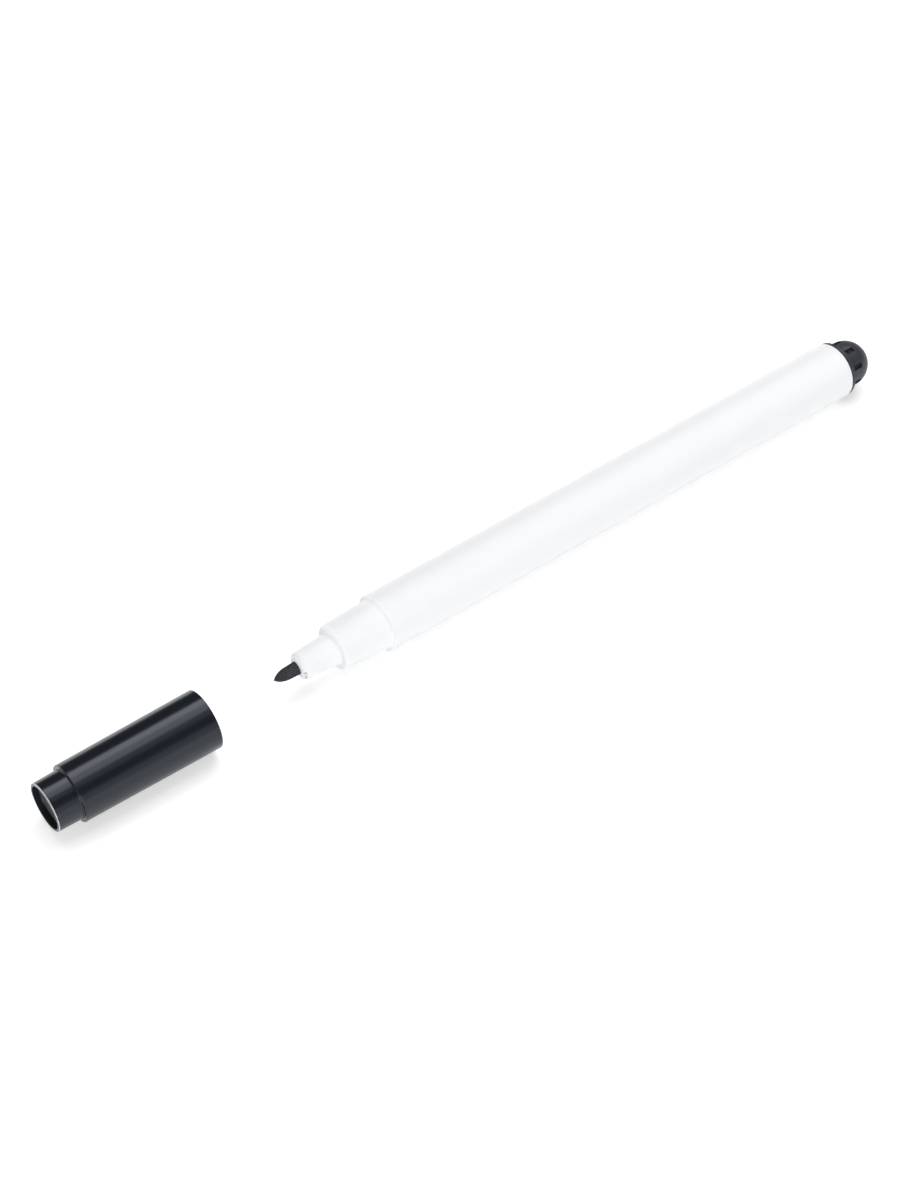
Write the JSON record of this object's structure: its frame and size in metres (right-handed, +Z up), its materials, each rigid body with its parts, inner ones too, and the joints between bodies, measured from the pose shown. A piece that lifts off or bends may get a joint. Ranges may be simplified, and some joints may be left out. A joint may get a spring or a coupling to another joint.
{
  "type": "slim felt tip marker",
  "caption": "Slim marker with its cap off: a white barrel with a stepped nose and a bullet nib, a black domed tail plug, and a black cap with a narrower open end.",
  "frame": {"origin": "on the ground below the middle of the marker and its cap, which lie in one line", "axes": "+X along the barrel from the cap and nib towards the domed tail, +Z up"},
  "size_m": [0.1738, 0.0106, 0.0106],
  "materials": {
    "white_plastic": "smooth moulded white, satin gloss",
    "cap_black_plastic": "glossy blue-black moulded plastic",
    "plug_black_plastic": "satin blue-black moulded plastic",
    "nib_fibre": "matt pressed fibre soaked with black ink",
    "core_fibre": "matt fibre soaked with black ink",
    "clear_film": "thin smooth film"
  },
  "bodies": {
    "pen": {"barrel": "white_plastic", "nib": "nib_fibre", "reservoir_core": "core_fibre", "reservoir_wrap": "clear_film", "tail_plug": "plug_black_plastic"},
    "cap": {"cap": "cap_black_plastic"}
  },
  "joints": [
    {"name": "cap_slide", "type": "slide", "parent": "pen", "child": "cap", "axis": [1, 0, 0], "range_m": [0, 0.0333]}
  ]
}
